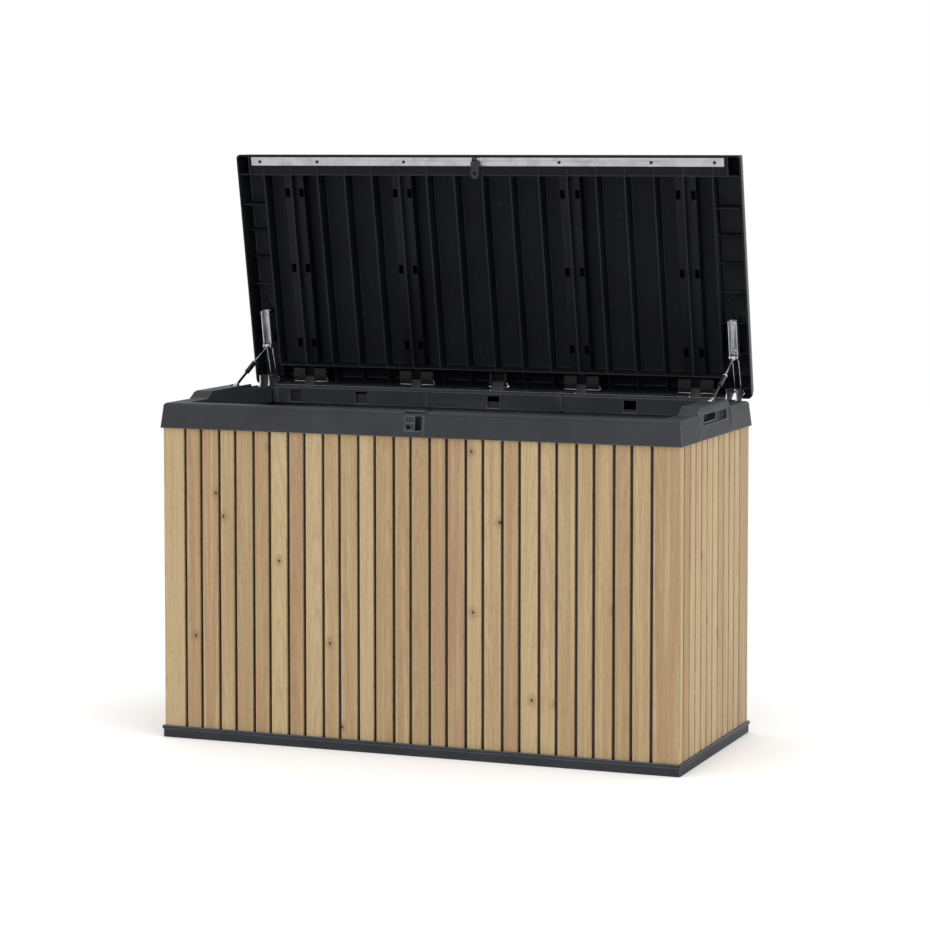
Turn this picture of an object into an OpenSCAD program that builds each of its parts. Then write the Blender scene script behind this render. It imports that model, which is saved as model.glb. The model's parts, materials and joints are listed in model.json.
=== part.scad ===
// Deck storage box: slatted resin walls on a base, a capping rim, and a deep
// ribbed lid on rear hinges that two telescopic stays hold open.
// Origin: centre of the underside. +X right, +Y back, +Z up, lid drawn open.

/* [Body] */
// Width across the outer faces of the slats
body_w = 1294; // [1050:1:1600]
// Depth across the outer faces of the slats
body_d = 559; // [460:1:700]
// Height of the visible slats' top edge above the ground
wall_top = 748; // [600:1:920]
// Thickness of a wall's inner core
core_t = 22; // [15:0.5:30]
// Thickness of a slat
slat_t = 8; // [5:0.5:12]

/* [Slats] */
// Spacing of the slats on the long walls
slat_pitch = 45; // [36:0.5:60]
// Spacing of the slats on the end walls
end_pitch = 45; // [36:0.5:60]
// Shift of every second groove, which makes wide and narrow slats
slat_shift = 1.5; // [0:0.1:4]
// Width of the groove between two slats
groove_w = 7.5; // [4:0.1:10]
// Width of the first slat at the left end of a long wall
first_slat = 51.5; // [40:0.5:70]
// Width of the first slat at the front of an end wall
first_end_slat = 21; // [15:0.5:40]

/* [Base] */
// Height of the base band
base_h = 28; // [20:0.5:45]
// How far the base band stands out from the slats
base_out = 3; // [1:0.5:8]
// How far the lip on the band's top stands out further
base_lip = 2.5; // [1:0.25:5]
// Width of the base ring, seen from above
base_ring = 45; // [40:1:60]
// Thickness of the floor panel
floor_t = 12; // [8:0.5:18]

/* [Rim] */
// Height of the rim above the visible slats
rim_h = 60.5; // [45:0.5:80]
// How far the rim's bottom edge stands out from the slats
rim_out = 5.8; // [4:0.1:10]
// How far the rim's outer face leans in over its height
rim_lean = 6.6; // [2:0.1:12]
// Width of the front and rear rims at the top
rim_w = 36.5; // [34:0.5:50]
// Width of the end rims at the top
rim_end_w = 49; // [47:0.5:60]
// Radius of the rim's top outer edge
rim_round = 9; // [4:0.5:12]
// Extra height of the end rims at the hand grips
grip_rise = 17.5; // [10:0.5:20]
// Place of the padlock recess along the front
latch_x = -12; // [-20:1:-6]
// Place of the seam between the front rim's halves
seam_x = 27; // [20:1:60]

/* [Lid] */
// How far the lid's ends stand out past the slats
lid_over_x = 10.6; // [9.5:0.1:16]
// How far the lid's front and rear stand out past the slats
lid_over_y = 19.2; // [17:0.1:26]
// Total thickness of the lid
lid_t = 50; // [46:0.5:65]
// Thickness of the lid's skirt and top skin
lid_skin = 4; // [3:0.25:6]
// Radius of the lid's corners, seen from above
lid_round = 11; // [6:0.5:20]
// How far each side of the lid leans in from its lower edge to its top
lid_lean = 9; // [2:0.5:12]
// Spacing of the lid's ribs, and of the planks on its top
rib_pitch = 73.25; // [60:0.25:90]
// Thickness of a lid rib
rib_t = 3; // [2:0.25:4]
// Angle that the lid opens to
lid_open = 78.87; // [60:0.01:85]

/* [Hinges] */
// Distance of the hinge axis ahead of the lid's rear edge
axis_in = 13; // [12.8:0.1:16]
// Height of the hinge axis above the lid's lower edge
axis_up = 21.4; // [20:0.1:24]
// Radius of a hinge knuckle
knuckle_r = 8; // [6:0.25:8.25]
// Radius of a hinge pin
pin_r = 4; // [3:0.25:5]
// Radial clearance of a pin that turns in its bore
pin_gap = 0.05; // [0.03:0.01:0.1]
// Width of a lid leaf
leaf_w = 90; // [70:1:110]

/* [Stays] */
// Distance of each stay in from the outer face of the end slats
stay_in = 30; // [29:0.5:36]
// Distance of the lower pivot ahead of the hinge axis
foot_ahead = 230.7; // [200:0.1:260]
// Distance of the upper pivot ahead of the lid's rear edge
eye_ahead = 101; // [90:0.5:120]
// Radius of the telescopic rod
rod_r = 2.5; // [2:0.1:3]
// Radius of the damper body
damper_r = 6.3; // [5:0.1:6.6]
// Radius of the stay's pivot pins
stay_pin_r = 3; // [2:0.1:3.5]

/* [Hidden] */
$fn = 48;
EPS = 0.01;

// Colours
SLATE = [0.24, 0.24, 0.26];
SOOT = [0.10, 0.10, 0.11];
OAK = [0.69, 0.59, 0.44];
SATIN = [0.75, 0.75, 0.76];
ZINC = [0.62, 0.63, 0.64];
BRIGHT = [0.85, 0.85, 0.86];

// Walls
hw = body_w / 2;
hd = body_d / 2;
core_out_x = hw - slat_t;
core_out_y = hd - slat_t;
core_in_x = core_out_x - core_t;
core_in_y = core_out_y - core_t;
fit_gap = 0.3;             // clearance of a wall in the rim's channel
slat_tuck = 14;            // length of slat hidden behind the rim's lip
rim_top = wall_top + rim_h;
slat_top = wall_top + slat_tuck;
core_top = slat_top + slat_t;
core_seat = core_top + 6;  // roof of the rim's channel above the cores
tongue_top = rim_top - 4;  // top of the tongue on the long walls' cores

// Rim
grip_top = rim_top + grip_rise;
apron_z = core_top;        // bottom of the rim's inner apron
mitre = 0.15;              // half of the seam at a rim corner
lean = rim_lean / rim_h;
function rim_face(z) = rim_out - (z - wall_top) * lean;
dip_x = [latch_x - 11, seam_x + 8];
dip_h = 6;
recess_w = 20;
recess_z = [wall_top + 15, wall_top + 49];
recess_x = [latch_x - recess_w / 2, seam_x - 5.5];
tab_end = seam_x - 23;
tab_t = 3.5;
tab_top = recess_z[0] + 18;
shackle_r = 4.5;
shackle_z = recess_z[0] + 8;

// Hand grips, as distances along Y
grip_front = -126;
ramp_l = 28;
grip_back = 88;
finger_y = [-60, 34];
rear_step = hd - 57.5;     // where the end rims drop to the rear rim's height
drop_y = 108;              // where the end rims drop behind the hand grip
mid_rise = 4.5;

// Lid, in its closed place
lid_w = body_w + 2 * lid_over_x;
lid_d = body_d + 2 * lid_over_y;
lid_gap = 0.5;
lid_z = rim_top + lid_gap;
lid_floor = lid_z + lid_t - lid_skin;
crest_z = lid_z + 0.8;
strip_floor = lid_z + 9;
strip_crest = lid_z + 13.8;
margin_crest = lid_z + 26;
grip_crest = grip_top + 2;
front_crest = lid_z + 3;
lid_draft = lid_lean / lid_t;
cross_in = 51;             // distance of the cross ribs in from the lid's edges
ribs = floor((lid_w / 2 - 60) / rib_pitch);
rib_end = ribs * rib_pitch;
groove_deep = 1.8;
groove_wide = 4;
ladder = [[106, margin_crest], [181, margin_crest], [258, margin_crest], [330, grip_crest], [399, grip_crest],
    [468, front_crest]];

// Hinges
axis_y = lid_d / 2 - axis_in;
axis_z = lid_z + axis_up;
hinge_x = [for (k = [-(ribs - 1), -round(ribs * 0.375), round(ribs * 0.375), ribs - 1]) k * rib_pitch];
ear_w = 24;
ear_gap = 0.5;
foot_t = 3;
foot_w = 80;
notch_gap = 2;
notch_top = axis_z + knuckle_r + 2;
knuckle_z = axis_z - knuckle_r + 1;
skirt_trim = 1;
upstand_h = 7;
upstand_t = 3;
center_ear_w = 32;
center_lug_w = 6;
center_pin_l = 49;
leaf_front = 27.7;
leaf_bridge = axis_z + knuckle_r + 2;

// Braces
brace_w = 52;
brace_h = 29;
brace_slot = [12, 22];
brace_slot_at = 19;
brace_slot_v = [107, 303, 497];

// Latch bar and hasp
bar_t = 3;
bar_w = 21;
bar_v = [lid_d - 6.4 - bar_w, lid_d - 6.4];
bar_inset = 41;
bar_y = -lid_d / 2 + (lid_d - bar_v[0] + lid_d - bar_v[1]) / 2;
bar_l = lid_w - 2 * bar_inset;
shelf_t = 6;
bar_screw_x = [for (f = [-0.9627, -0.7078, -0.3295, 0.3295, 0.7078, 0.9627]) f * bar_l / 2];
hasp_w = 22;
hasp_t = 4;
hasp_l = 48;
hasp_hole = 34;
hasp_knuckle_w = 14;
hasp_pin_r = 2;
hasp_knuckle_r = 4;
hasp_y = -lid_d / 2 + 9.7;
bracket_t = 0.8;
hasp_z = lid_z - bracket_t - hasp_knuckle_r - 0.3;

// Stays
stay_x = hw - stay_in;
foot_y = axis_y - foot_ahead;
foot_z = lid_z + 13;
eye_y = lid_d / 2 - eye_ahead;
eye_z = lid_z + 1;
trough_w = 29;
trough_z = core_seat + 14;
trough_front = foot_y - 16;
tower_front = axis_y - 59.7;
cheek_in = 11;
cheek_t = 3;
upstand_x = stay_x - cheek_in - cheek_t - notch_gap;
post_cheek_in = 6;
eye_half = 4;
eye_r = 5;
wire_r = 1.5;
wire_x = 7.5;
wire_v = [118, 140];
wire_z = lid_z + 11;
plate_v = [103, 192];
plate_half = 11;
plate_t = 2;
plate_web = lid_z + 16;
plate_hole_v = [115, 184];
stud_gap = 0.5;
tube_fit = 15;
tube_r = 3.6;
damper_from = 77;
cap_from = 123;
cap_to = 133;
rod_l = 120;

// A point of the closed lid, moved to where it is with the lid open
function opened(p) = let (y = p[0] - axis_y, z = p[1] - axis_z)
    [axis_y + y * cos(lid_open) + z * sin(lid_open), axis_z - y * sin(lid_open) + z * cos(lid_open)];
eye_open = opened([eye_y, eye_z]);
hasp_open = opened([hasp_y, hasp_z]);
strut_dy = eye_open[0] - foot_y;
strut_dz = eye_open[1] - foot_z;
strut_l = sqrt(strut_dy * strut_dy + strut_dz * strut_dz);
strut_a = atan2(strut_dz, strut_dy);

// Screws
head_r = 4;
head_h = 1.8;
shank_r = 2;
shank_l = 10;

// ---------------------------------------------------------------- helpers

module block(x, y, z) {
    translate([x[0], y[0], z[0]]) cube([x[1] - x[0], y[1] - y[0], z[1] - z[0]]);
}

// A flat outline in the YZ plane, given thickness along X
module slab_yz(x0, t) {
    translate([x0, 0, 0]) rotate([90, 0, 90]) linear_extrude(t) children();
}

// A round bar in the plane X = x, from p to q, each a [y, z] point
module bar_yz(x, p, q, r) {
    d = q - p;
    translate([x, p[0], p[1]]) rotate([atan2(d[1], d[0]), 0, 0]) rotate([-90, 0, 0])
        cylinder(h = norm(d), r = r);
}

// A round bar along X
module bar_x(x0, l, y, z, r) {
    translate([x0, y, z]) rotate([0, 90, 0]) cylinder(h = l, r = r);
}

module screw_up(x, y, z) {
    translate([x, y, z - head_h]) cylinder(h = head_h, r = head_r);
    translate([x, y, z - EPS]) cylinder(h = shank_l, r = shank_r);
}

module screw_hole(x, y, z) {
    translate([x, y, z - shank_l - 1]) cylinder(h = 2 * shank_l + 2, r = shank_r + pin_gap);
}

// Puts what is drawn in the lid's closed place where the open lid has it
module lifted() {
    translate([0, axis_y, axis_z]) rotate([-lid_open, 0, 0]) translate([0, -axis_y, -axis_z]) children();
}

module both_sides(side) {
    if (side < 0) mirror([1, 0, 0]) children();
    else children();
}

// ------------------------------------------------------------------- base

module base_frame() {
    ox = hw + base_out;
    oy = hd + base_out;
    ix = ox - base_ring;
    iy = oy - base_ring;
    ledge = base_h - floor_t;
    color(SLATE) difference() {
        union() {
            difference() {
                union() {
                    block([-ox, ox], [-oy, oy], [0, base_h]);
                    block([-ox - base_lip, ox + base_lip], [-oy - base_lip, oy + base_lip], [base_h - 8, base_h]);
                }
                block([-ix, ix], [-iy, iy], [-1, base_h + 1]);
            }
            for (x = [-ix * 2 / 3, 0, ix * 2 / 3]) block([x - 20, x + 20], [-iy - 1, iy + 1], [0, ledge]);
        }
        block([-core_in_x, core_in_x], [-core_in_y, core_in_y], [ledge, base_h + 1]);
    }
}

module floor_panel() {
    x = core_in_x - fit_gap;
    y = core_in_y - fit_gap;
    color(SLATE) block([-x, x], [-y, y], [base_h - floor_t, base_h]);
}

// ------------------------------------------------------------------ walls

module long_core() {
    difference() {
        union() {
            block([-core_out_x, core_out_x], [-core_out_y, -core_in_y], [base_h, core_top]);
            block([-core_in_x + 20, core_in_x - 20], [-core_out_y, -core_in_y], [base_h, tongue_top]);
        }
        block([recess_x[0] - 3, recess_x[1] + 3], [-core_out_y - 1, -core_out_y + 11], [recess_z[0] - 5, tongue_top + 1]);
    }
}

module front_panel() {
    color(SOOT) long_core();
}

module rear_panel() {
    color(SOOT) difference() {
        union() {
            block([-core_out_x, core_out_x], [core_in_y, core_out_y], [base_h, core_top]);
            block([-core_in_x + 20, core_in_x - 20], [core_in_y, core_out_y], [base_h, tongue_top]);
        }
        for (x = foot_screw_x) screw_hole(x, foot_screw_y, rim_top + foot_t);
    }
}

module end_panel(side) {
    color(SOOT) both_sides(side) block([core_in_x, core_out_x], [-core_in_y, core_in_y], [base_h, core_top]);
}

// Centres of the grooves in a wall that runs from a to b
function long_cuts(a, b) = let (n = floor((b - a - 2 * first_slat) / slat_pitch) + 1)
    [for (i = [0 : n - 1]) a + first_slat + groove_w / 2 + i * slat_pitch - (i % 2) * slat_shift * 2 + slat_shift];

function end_cuts(a, b) = let (n = floor((b - a - first_end_slat - end_pitch) / end_pitch) + 1)
    [for (i = [0 : n - 1]) a + first_end_slat + groove_w / 2 + i * end_pitch];

// Boards between the grooves, along X from a to b, from y0 to y1
module boards(a, b, cuts, y0, y1) {
    edges = concat([a - groove_w / 2], cuts, [b + groove_w / 2]);
    for (i = [0 : len(edges) - 2])
        block([edges[i] + groove_w / 2, edges[i + 1] - groove_w / 2], [y0, y1], [base_h, slat_top]);
}

module front_slats() {
    color(OAK) boards(-hw, hw, long_cuts(-hw, hw), -hd, -core_out_y);
}

module rear_slats() {
    color(OAK) rotate([0, 0, 180]) boards(-hw, hw, long_cuts(-hw, hw), -hd, -core_out_y);
}

module end_slats(side) {
    e = core_out_y;
    color(OAK) both_sides(side) rotate([0, 0, 90]) boards(-e, e, end_cuts(-e, e), -hw, -core_out_x);
}

// -------------------------------------------------------------------- rim

// Section of a rim: x is measured outwards from the slats' face
function rim_section(w, top) = let (r = rim_round, c = rim_face(top - r) - r) concat(
    [[rim_face(wall_top), wall_top], [rim_face(top - r), top - r]],
    [for (i = [1 : 6]) [c + r * cos(i * 15), top - r + r * sin(i * 15)]],
    [[-w, top], [-w, apron_z], [-slat_t - core_t / 2, apron_z], [-slat_t - core_t / 2, wall_top]]);

// The space that the walls take up inside the rim
module wall_space() {
    difference() {
        union() {
            block([-hw - fit_gap, hw + fit_gap], [-hd - fit_gap, hd + fit_gap], [wall_top - 1, slat_top + fit_gap]);
            block([-core_out_x - fit_gap, core_out_x + fit_gap], [-core_out_y - fit_gap, core_out_y + fit_gap],
                [wall_top - 1, core_seat]);
        }
        block([-core_in_x + fit_gap, core_in_x - fit_gap], [-core_in_y + fit_gap, core_in_y - fit_gap],
            [wall_top - 2, core_seat + 1]);
    }
    x = core_in_x - 20 + fit_gap;
    for (s = [-1, 1]) scale([1, s, 1])
        block([-x, x], [core_in_y - fit_gap, core_out_y + fit_gap], [wall_top, tongue_top]);
}

// Plan of a long side's rim between its mitred corners
module long_plan() {
    x = hw + 8;
    y = hd + 8;
    polygon([[-x + mitre, -y], [x - mitre, -y], [x - 80 - mitre, -y + 80], [-x + 80 + mitre, -y + 80]]);
}

module end_plan() {
    x = hw + 8;
    y = hd + 8;
    polygon([[x, -y + mitre], [x, y - mitre], [x - 80, y - 80 - mitre], [x - 80, -y + 80 + mitre]]);
}

module long_rim() {
    intersection() {
        slab_yz(-hw - 8, body_w + 16) polygon([for (p = rim_section(rim_w, rim_top)) [-hd - p[0], p[1]]]);
        translate([0, 0, wall_top - 1]) linear_extrude(rim_h + 2) long_plan();
    }
}

module latch_recess() {
    block(recess_x, [-hd - rim_out - 1, -core_out_y + 10], recess_z);
    // dip in the top edge, and the notch at the seam
    block(dip_x, [-hd - rim_out - 1, -hd + 15], [rim_top - dip_h, rim_top + 1]);
    translate([seam_x, -hd + 17, rim_top + 2]) rotate([0, 45, 0]) cube([11, 2 * rim_out + 50, 11], center = true);
}

module rim_front_left() {
    color(SLATE) difference() {
        union() {
            difference() {
                intersection() {
                    long_rim();
                    block([-hw - 10, seam_x - mitre], [-hd - 10, 0], [wall_top - 1, rim_top + 1]);
                }
                latch_recess();
                wall_space();
            }
            // tab that takes the padlock's shackle, which comes back out of the slot beside it
            block([recess_x[0] - EPS, tab_end], [-hd - rim_face(shackle_z) + 1, -hd - rim_face(shackle_z) + 1 + tab_t],
                [recess_z[0] - EPS, tab_top]);
            block([recess_x[0] - EPS, tab_end], [-hd - rim_face(recess_z[1]) + 1, -hd - rim_face(recess_z[1]) + 1 + tab_t],
                [tab_top - EPS, recess_z[1] + EPS]);
        }
        translate([latch_x, -hd - 20, shackle_z]) rotate([-90, 0, 0]) cylinder(h = 40, r = shackle_r);
    }
}

module rim_front_right() {
    color(SLATE) difference() {
        intersection() {
            long_rim();
            block([seam_x + mitre, hw + 10], [-hd - 10, 0], [wall_top - 1, rim_top + 1]);
        }
        latch_recess();
        wall_space();
    }
}

// Ribs and pockets on the inner face of the rear rim
pocket_x = [for (f = [-0.83, -0.55, 0, 0.55, 0.83]) f * hw];
pocket_w = 32;
stiffener_x = [-0.278 * hw, 0.27 * hw];
corner_x = hw - rim_end_w - 6 - fit_gap;

module rim_rear() {
    inner = hd - rim_w;
    color(SLATE) difference() {
        union() {
            rotate([0, 0, 180]) long_rim();
            for (x = [-corner_x, each stiffener_x, corner_x])
                block([x - 6, x + 6], [inner - 6, inner + 1], [apron_z, rim_top]);
            // upstand that keeps rain out below the lid's rear edge
            block([-upstand_x, upstand_x], [foot_y0 - fit_gap - upstand_t, foot_y0 - fit_gap],
                [rim_top - EPS, rim_top + upstand_h]);
        }
        wall_space();
        for (x = pocket_x) block([x - pocket_w / 2, x + pocket_w / 2], [inner - 1, core_in_y + 1], [apron_z + 3, rim_top - 6]);
        for (x = foot_screw_x) screw_hole(x, foot_screw_y, rim_top + foot_t);
    }
}

// Side view of an end rim: low at the front, high at the hand grip
module end_outline() {
    z = wall_top - 1;
    polygon([[-hd - 10, z], [-hd - 10, rim_top], [grip_front - ramp_l / 2, rim_top],
        [grip_front + ramp_l / 2, grip_top], [drop_y, grip_top], [drop_y + 8, rim_top + mid_rise],
        [rear_step, rim_top + mid_rise], [rear_step, rim_top], [hd + 10, rim_top], [hd + 10, z]]);
}

module end_run(a, b, top) {
    translate([0, b, 0]) rotate([90, 0, 0]) linear_extrude(b - a)
        polygon([for (p = rim_section(rim_end_w, top)) [hw + p[0], p[1]]]);
}

module rim_end(side) {
    color(SLATE) both_sides(side) difference() {
        intersection() {
            union() {
                end_run(-hd - 8, grip_front - ramp_l / 2, rim_top);
                end_run(grip_front - ramp_l / 2, drop_y + 4, grip_top);
                end_run(drop_y + 4, rear_step, rim_top + mid_rise);
                end_run(rear_step, hd + 8, rim_top);
            }
            slab_yz(hw - 80, 100) end_outline();
            translate([0, 0, wall_top - 1]) linear_extrude(rim_h + grip_rise + 2) end_plan();
        }
        wall_space();
        // trough for the stay
        block([stay_x - trough_w / 2, stay_x + trough_w / 2], [trough_front, rear_step + 1], [trough_z, grip_top + 1]);
        hand_grip();
        for (y = post_screw_y) screw_hole(stay_x, y, trough_z + foot_t);
    }
}

// Hand grip: a shallow tapered recess with a finger slot behind it
grip_z = [core_seat + 6, rim_top - 3];

module hand_grip() {
    face = hw - 11;
    translate([0, 0, grip_z[0]]) linear_extrude(grip_z[1] - grip_z[0])
        polygon([[hw + rim_out, grip_front + 4], [hw + rim_out, grip_back], [face, grip_back], [face, finger_y[0] - 8]]);
    block([stay_x - 4, face + 1], finger_y, [grip_z[0] + 3, grip_z[1] + 6]);
}

// ------------------------------------------------- pieces fixed to the rim

post_screw_y = [foot_y + 22, foot_y + 36];

module strut_post(side) {
    top = trough_z + foot_t;
    color(SOOT) both_sides(side) difference() {
        union() {
            block([stay_x - 10, stay_x + 10], [foot_y - 9, foot_y + 44], [trough_z, top]);
            for (x = [stay_x - post_cheek_in - cheek_t, stay_x + post_cheek_in]) slab_yz(x, cheek_t) union() {
                translate([foot_y, foot_z]) circle(r = 7);
                polygon([[foot_y - 8, top - EPS], [foot_y - 7, foot_z], [foot_y + 6.5, foot_z + 2.6],
                    [foot_y + 30, top - EPS]]);
            }
        }
        bar_x(stay_x - 20, 40, foot_y, foot_z, stay_pin_r);
        for (y = post_screw_y) screw_hole(stay_x, y, top);
    }
}

module strut_post_pins() {
    l = 2 * (post_cheek_in + cheek_t) + 1.5;
    color(BRIGHT) for (s = [-1, 1]) bar_x(s * stay_x - l / 2, l, foot_y, foot_z, stay_pin_r);
}

// Side view of a tower's cheek, with its curved front edge
module cheek_outline() {
    r = 62;
    difference() {
        union() {
            translate([axis_y, axis_z]) circle(r = knuckle_r);
            polygon([[tower_front, rim_top], [tower_front, axis_z + knuckle_r - EPS],
                [axis_y, axis_z + knuckle_r - EPS], [axis_y + 5, axis_z - 6], [axis_y - 18, rim_top]]);
        }
        translate([tower_front - r + 4, axis_z - 4]) circle(r = r, $fn = 96);
    }
}

module hinge_tower(side) {
    color(SLATE) both_sides(side) difference() {
        union() {
            for (x = [stay_x - cheek_in - cheek_t, stay_x + cheek_in]) slab_yz(x, cheek_t) cheek_outline();
            block([stay_x - cheek_in - EPS, stay_x + cheek_in + EPS], [tower_front + 7, axis_y - 20],
                [rim_top, rim_top + foot_t]);
        }
        bar_x(stay_x - 20, 40, axis_y, axis_z, stay_pin_r);
    }
}

// Steel strap along the curved front edge of each cheek
module tower_strap(side) {
    r = 62;
    color(BRIGHT) both_sides(side) for (x = [stay_x - cheek_in - cheek_t, stay_x + cheek_in]) slab_yz(x, cheek_t)
        intersection() {
            difference() {
                translate([tower_front - r + 4, axis_z - 4]) circle(r = r, $fn = 96);
                translate([tower_front - r + 2, axis_z - 4]) circle(r = r, $fn = 96);
            }
            translate([tower_front - 10, rim_top]) square([20, axis_z + knuckle_r - rim_top - EPS]);
        }
}

module tower_pins() {
    l = 2 * (cheek_in + cheek_t) + 1;
    color(BRIGHT) for (s = [-1, 1]) bar_x(s * stay_x - l / 2, l, axis_y, axis_z, stay_pin_r);
}

// Side view of the ear that a lid leaf turns on
module ear_outline() {
    translate([axis_y, axis_z]) circle(r = knuckle_r);
    polygon([[axis_y - 24, rim_top + EPS], [axis_y - 8, axis_z], [axis_y - 5.7, axis_z + 5.6],
        [axis_y + 6.5, axis_z - 4.6], [axis_y - 10, rim_top + EPS]]);
}

foot_y0 = axis_y - 32;
foot_y1 = axis_y - 16;
foot_screw_y = foot_y0 + 6;
foot_screw_x = [for (x = hinge_x, s = [-1, 1]) x + s * (foot_w / 2 - 10)];

module hinge_post(x, ear, foot) {
    color(SLATE) difference() {
        union() {
            slab_yz(x - ear / 2, ear) ear_outline();
            block([x - foot / 2, x + foot / 2], [foot_y0, foot_y1], [rim_top, rim_top + foot_t]);
        }
        bar_x(x - ear, 2 * ear, axis_y, axis_z, pin_r + pin_gap);
        if (foot > foot_w - 1)
            for (s = [-1, 1]) screw_hole(x + s * (foot / 2 - 10), foot_screw_y, rim_top + foot_t);
    }
}

module rim_screws() {
    color(SOOT) {
        for (x = foot_screw_x) translate([0, 0, rim_top + foot_t]) mirror([0, 0, 1])
            screw_up(x, foot_screw_y, 0);
        for (s = [-1, 1], y = post_screw_y) translate([0, 0, trough_z + foot_t]) mirror([0, 0, 1])
            screw_up(s * stay_x, y, 0);
    }
}

// -------------------------------------------------------------------- lid

module lid_plan(inset) {
    r = lid_round - inset;
    x = lid_w / 2 - inset;
    y = lid_d / 2 - inset;
    square([2 * x, 2 * (y - r)], center = true);
    square([2 * (x - r), 2 * y], center = true);
    for (sx = [-1, 1], sy = [-1, 1]) translate([sx * (x - r), sy * (y - r)]) circle(r = r);
}

// A long section with leaning sides and small chamfers along its top
module lid_edge(l, d, inset, top, c) {
    function side(z) = d / 2 - inset - (z - lid_z) * lid_draft;
    rotate([90, 0, 90]) linear_extrude(l, center = true)
        polygon([[-side(lid_z - 1), lid_z - 1], [-side(top - c), top - c], [-side(top) + c, top],
            [side(top) - c, top], [side(top - c), top - c], [side(lid_z - 1), lid_z - 1]]);
}

module lid_block(inset, top, c) {
    intersection() {
        translate([0, 0, lid_z - 1]) linear_extrude(top - lid_z + 1) lid_plan(inset);
        lid_edge(lid_w + 2, lid_d, inset, top, c);
        rotate([0, 0, 90]) lid_edge(lid_d + 2, lid_w, inset, top, c);
    }
}

// Y of a line at distance v from the lid's rear edge
function at_v(v) = lid_d / 2 - v;
cross_y = [at_v(cross_in), at_v(lid_d - cross_in)];

module rib_x(k) {
    x = k * rib_pitch;
    hinge = abs(k) == ribs - 1 || abs(k) == round(ribs * 0.375) || k == 0;
    block([x - rib_t / 2, x + rib_t / 2], [cross_y[1], cross_y[0]], [crest_z, lid_floor + EPS]);
    if (!hinge)
        block([x - rib_t / 2, x + rib_t / 2], [cross_y[0], lid_d / 2 - lid_skin], [strip_crest, lid_floor + EPS]);
    block([x - rib_t / 2, x + rib_t / 2], [at_v(bar_v[0]) - EPS, cross_y[1]], [lid_z + 4, strip_floor + EPS]);
}

module stay_boss(y) {
    translate([stay_x, y, plate_web + plate_t]) cylinder(h = lid_floor - plate_web - plate_t + EPS, r = 7);
}

module lid_shell() {
    edge_x = lid_w / 2 - lid_skin;
    end_rib = bar_l / 2 + 7.5;
    color(SOOT) lifted() difference() {
        intersection() {
            lid_block(0, lid_z + lid_t, 3);
            union() {
                difference() {
                    block([-lid_w, lid_w], [-lid_d, lid_d], [lid_z, lid_z + lid_t]);
                    lid_block(lid_skin, lid_floor, 1);
                }
                for (k = [-ribs : ribs]) rib_x(k);
                // cross ribs, full height at the front and between the outer ribs
                block([-edge_x - EPS, edge_x + EPS], [cross_y[1] - rib_t / 2, cross_y[1] + rib_t / 2],
                    [crest_z, lid_floor + EPS]);
                block([-rib_end, rib_end], [cross_y[0] - rib_t / 2, cross_y[0] + rib_t / 2], [crest_z, lid_floor + EPS]);
                block([-edge_x - EPS, edge_x + EPS], [cross_y[0] - rib_t / 2, cross_y[0] + rib_t / 2],
                    [margin_crest + 8, lid_floor + EPS]);
                // ladder ribs in the side margins
                for (s = [-1, 1], rung = ladder) scale([s, 1, 1])
                    block([rib_end, edge_x - 4], [at_v(rung[0]) - rib_t / 2, at_v(rung[0]) + rib_t / 2],
                        [rung[1], lid_floor + EPS]);
                for (s = [-1, 1], v = plate_hole_v) scale([s, 1, 1]) stay_boss(at_v(v));
                // front channel: the shelf that the latch bar is screwed to, the channel's floor and its end ribs
                block([-bar_l / 2 - 4, bar_l / 2 + 4], [-lid_d / 2 + lid_skin - EPS, at_v(bar_v[0])],
                    [lid_z + bar_t, lid_z + bar_t + shelf_t]);
                block([-end_rib, end_rib], [-lid_d / 2 + lid_skin - EPS, cross_y[1]], [strip_floor, strip_floor + 3]);
                for (s = [-1, 1]) block([s * end_rib - rib_t / 2, s * end_rib + rib_t / 2],
                    [-lid_d / 2 + lid_skin - EPS, cross_y[1]], [crest_z, strip_floor + 3]);
            }
        }
        for (k = [-ribs : ribs]) block([k * rib_pitch - groove_wide / 2, k * rib_pitch + groove_wide / 2],
            [-lid_d, lid_d], [lid_z + lid_t - groove_deep, lid_z + lid_t + 1]);
        // room behind the skirt for the hinges, and its trimmed lower edge
        for (x = hinge_x) {
            skirt_notch(x, leaf_w / 2 + notch_gap, knuckle_z);
            skirt_notch(x, ear_w / 2 + notch_gap, lid_z - 1);
        }
        skirt_notch(0, center_pin_l / 2 + notch_gap, knuckle_z);
        skirt_notch(0, center_ear_w / 2 + notch_gap, lid_z - 1);
        for (s = [-1, 1]) skirt_notch(s * stay_x, cheek_in + cheek_t + notch_gap, lid_z - 1);
        block([-lid_w, lid_w], [lid_d / 2 - lid_round - 1, lid_d], [lid_z - 1, lid_z + skirt_trim]);
        for (x = bar_screw_x) screw_hole(x, bar_y, lid_z);
        for (s = [-1, 1], v = plate_hole_v) screw_hole(s * stay_x, at_v(v), plate_web);
    }
}

module skirt_notch(x, half, low) {
    block([x - half, x + half], [lid_d / 2 - lid_skin - lid_lean - 1, lid_d], [low, notch_top]);
}

// A brace is a pair of rails that stand on either side of a rib
module lid_brace(x) {
    gap = rib_t / 2 + fit_gap;
    color(SOOT) lifted() difference() {
        for (s = [-1, 1]) translate([x, 0, 0]) scale([s, 1, 1])
            block([gap, brace_w / 2], [cross_y[1] + rib_t, cross_y[0] - rib_t], [lid_floor - brace_h, lid_floor]);
        for (s = [-1, 1], v = brace_slot_v) translate([x + s * brace_slot_at, at_v(v), lid_floor - brace_h / 2 - 4])
            cube([brace_slot[0], brace_slot[1], brace_h], center = true);
    }
}

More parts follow.
